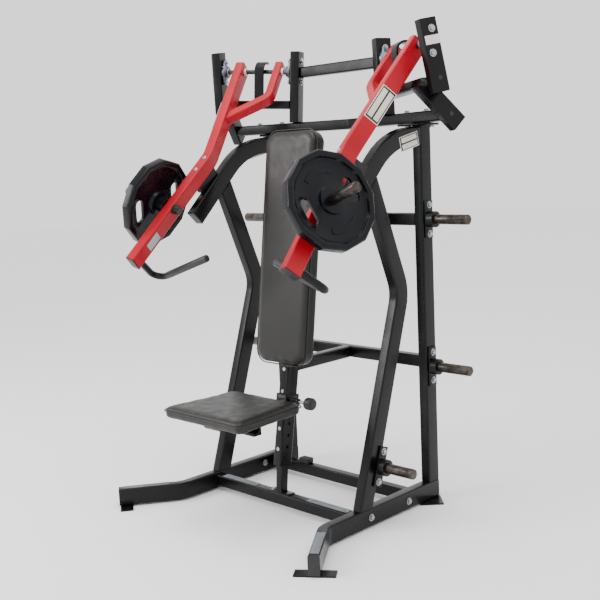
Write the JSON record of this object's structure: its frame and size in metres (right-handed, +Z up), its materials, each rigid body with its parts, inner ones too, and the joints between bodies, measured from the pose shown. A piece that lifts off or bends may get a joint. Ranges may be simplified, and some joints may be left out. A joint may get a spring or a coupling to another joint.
{
  "type": "chest press machine",
  "caption": "Plate-loaded chest press machine: a box-section frame, two red press arms on swept shafts, weight horns with plates, storage horns and a sliding seat.",
  "frame": {"origin": "on the floor, at the middle of the machine's box in X and Y", "axes": "+Z up; the user sits facing -Y; +X is the user's left"},
  "size_m": [1.3674, 1.07, 2.0129],
  "materials": {
    "frame_enamel": "black powder-coated steel tube, satin gloss",
    "arm_enamel": "red powder-coated steel tube, satin gloss",
    "handle_rubber": "dark grey rubber grip over steel tube",
    "bumper_rubber": "black moulded rubber",
    "horn_steel": "worn turned steel with a dark brown-grey tone",
    "bearing_zinc": "zinc-plated cast bearing housing",
    "shaft_steel": "ground steel shaft, dark",
    "weight_coating": "cast iron with a black gloss urethane coat",
    "pad_vinyl": "dark warm grey upholstery vinyl",
    "pin_plastic": "black moulded knob"
  },
  "bodies": {
    "frame": {"back_pad": "pad_vinyl", "back_post": "frame_enamel", "back_strut": "frame_enamel", "centre_tube": "frame_enamel", "front_cross_tube": "frame_enamel", "left_base_tube": "frame_enamel", "left_diagonal_brace": "frame_enamel", "left_front_foot_plate": "frame_enamel", "left_hoop_leg": "frame_enamel", "left_inner_post": "frame_enamel", "left_leg_storage_horn": "horn_steel", "left_lower_storage_horn": "horn_steel", "left_outer_tower": "frame_enamel", "left_post_bearing": "bearing_zinc", "left_rear_foot_plate": "frame_enamel", "left_rear_upright": "frame_enamel", "left_shaft_hook": "frame_enamel", "left_stop_hoop": "frame_enamel", "left_tower_bearing": "bearing_zinc", "left_tower_cross_tube": "frame_enamel", "left_upper_storage_horn": "horn_steel", "mid_cross_tube": "frame_enamel", "rear_cross_tube": "frame_enamel", "right_base_tube": "frame_enamel", "right_diagonal_brace": "frame_enamel", "right_front_foot_plate": "frame_enamel", "right_hoop_leg": "frame_enamel", "right_inner_post": "frame_enamel", "right_leg_storage_horn": "horn_steel", "right_lower_storage_horn": "horn_steel", "right_outer_tower": "frame_enamel", "right_post_bearing": "bearing_zinc", "right_rear_foot_plate": "frame_enamel", "right_rear_upright": "frame_enamel", "right_shaft_hook": "frame_enamel", "right_stop_hoop": "frame_enamel", "right_tower_bearing": "bearing_zinc", "right_tower_cross_tube": "frame_enamel", "right_upper_storage_horn": "horn_steel", "seat_guide_post": "frame_enamel", "top_beam": "frame_enamel", "upper_cross_tube": "frame_enamel", "upper_tie_beam": "frame_enamel"},
    "left_arm": {"left_arm_branch": "arm_enamel", "left_arm_bumper": "bumper_rubber", "left_pivot_shaft": "shaft_steel", "left_press_arm": "arm_enamel", "left_press_handle": "handle_rubber", "left_weight_horn": "horn_steel"},
    "right_arm": {"right_arm_branch": "arm_enamel", "right_arm_bumper": "bumper_rubber", "right_pivot_shaft": "shaft_steel", "right_press_arm": "arm_enamel", "right_press_handle": "handle_rubber", "right_weight_horn": "horn_steel"},
    "left_plate": {"left_weight_plate": "weight_coating"},
    "right_plate": {"right_weight_plate": "weight_coating"},
    "seat": {"seat_carriage": "frame_enamel", "seat_pad": "pad_vinyl"},
    "seat_pull_pin": {"seat_pin": "pin_plastic"}
  },
  "joints": [
    {"name": "left_arm_pivot", "type": "hinge", "parent": "frame", "child": "left_arm", "pos_m": [0.513, 0.29656, 1.912], "axis": [-0.9186, 0.3899, -0.0645], "range_deg": [0, 45]},
    {"name": "right_arm_pivot", "type": "hinge", "parent": "frame", "child": "right_arm", "pos_m": [-0.513, 0.29656, 1.912], "axis": [-0.9186, -0.3899, 0.0645], "range_deg": [0, 45]},
    {"name": "left_plate_slide", "type": "slide", "parent": "left_arm", "child": "left_plate", "axis": [0.9343, -0.1802, 0.3076], "range_m": [0, 0.13]},
    {"name": "right_plate_slide", "type": "slide", "parent": "right_arm", "child": "right_plate", "axis": [-0.9343, -0.1802, 0.3076], "range_m": [0, 0.13]},
    {"name": "seat_slide", "type": "slide", "parent": "frame", "child": "seat", "axis": [0, 0.1736, 0.9848], "range_m": [-0.14, 0.06]},
    {"name": "seat_pin_pull", "type": "slide", "parent": "seat", "child": "seat_pull_pin", "axis": [1, 0, 0], "range_m": [0, 0.012], "stiffness_N_per_m": 600, "springref_m": -0.006}
  ]
}
